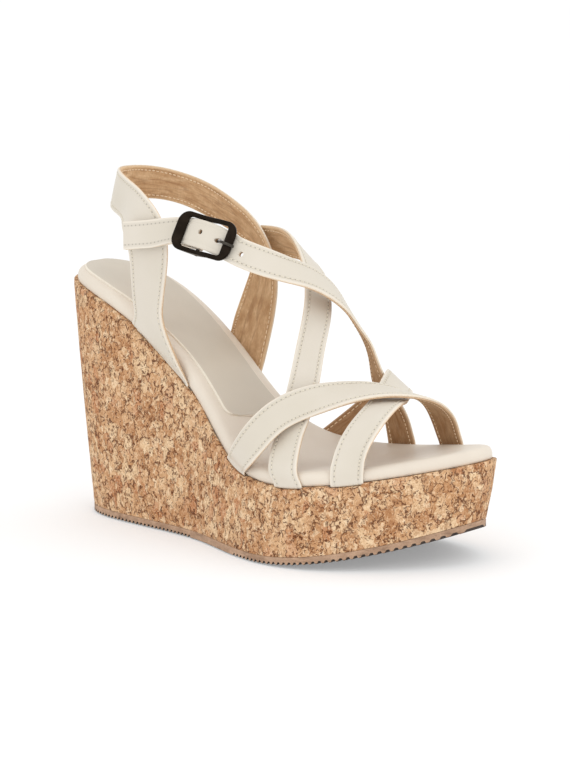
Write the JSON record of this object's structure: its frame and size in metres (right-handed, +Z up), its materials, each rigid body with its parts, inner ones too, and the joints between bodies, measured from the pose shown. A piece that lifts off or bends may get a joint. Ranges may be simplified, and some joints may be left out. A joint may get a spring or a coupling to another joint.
{
  "type": "wedge sandal",
  "caption": "Women's slingback wedge sandal, right foot: cork-covered wedge, padded insole, crossed straps and a pin buckle at the ankle.",
  "frame": {"origin": "middle of the bounding box in plan, on the ground", "axes": "+X from heel to toe, +Y to the medial side of the foot, +Z up"},
  "size_m": [0.2226, 0.0908, 0.1628],
  "materials": {
    "brown_rubber": "moulded, fine cross teeth, matt",
    "cork": "agglomerated cork sheet, fine grain, matt",
    "wedge_plastic": "foamed core, unseen",
    "fibre_board": "pressed fibre, unseen",
    "foam": "soft foam, unseen",
    "cream_insole": "smooth leatherette, satin",
    "cream_liner": "smooth leatherette, satin",
    "cream_leather": "smooth leatherette with tonal stitching, satin",
    "tan_suede": "fine microsuede, matt",
    "dark_bronze": "dark bronze plating, satin",
    "gunmetal": "dark gunmetal, polished",
    "steel": "plain steel"
  },
  "bodies": {
    "sandal": {"outsole": "brown_rubber", "cork_wrap": "cork", "wedge_core": "wedge_plastic", "insole_board": "fibre_board", "footbed_foam": "foam", "insole_cover": "cream_insole", "sock_liner": "cream_liner", "shank": "steel", "shank_rivet_1": "steel", "shank_rivet_2": "steel", "wedge_screw_1": "steel", "wedge_screw_2": "steel", "wedge_screw_3": "steel", "heel_strap_outer": "cream_leather", "heel_strap_lining": "tan_suede", "buckle_tab": "cream_leather", "buckle_strap_outer": "cream_leather", "buckle_strap_lining": "tan_suede", "instep_strap_outer": "cream_leather", "instep_strap_lining": "tan_suede", "vamp_strap_outer": "cream_leather", "vamp_strap_lining": "tan_suede", "toe_strap_outer": "cream_leather", "toe_strap_lining": "tan_suede"},
    "buckle": {"buckle_frame": "dark_bronze", "buckle_bar": "steel"},
    "prong": {"buckle_prong": "gunmetal"}
  },
  "joints": [
    {"name": "buckle_tilt", "type": "hinge", "parent": "sandal", "child": "buckle", "pos_m": [-0.0105, -0.02895, 0.1376], "axis": [0.1271, 0.406, 0.905], "range_deg": [-1.5, 1.5]},
    {"name": "prong_lift", "type": "hinge", "parent": "buckle", "child": "prong", "pos_m": [-0.0105, -0.02895, 0.1376], "axis": [-0.1271, -0.406, -0.905], "range_deg": [0, 4]}
  ]
}
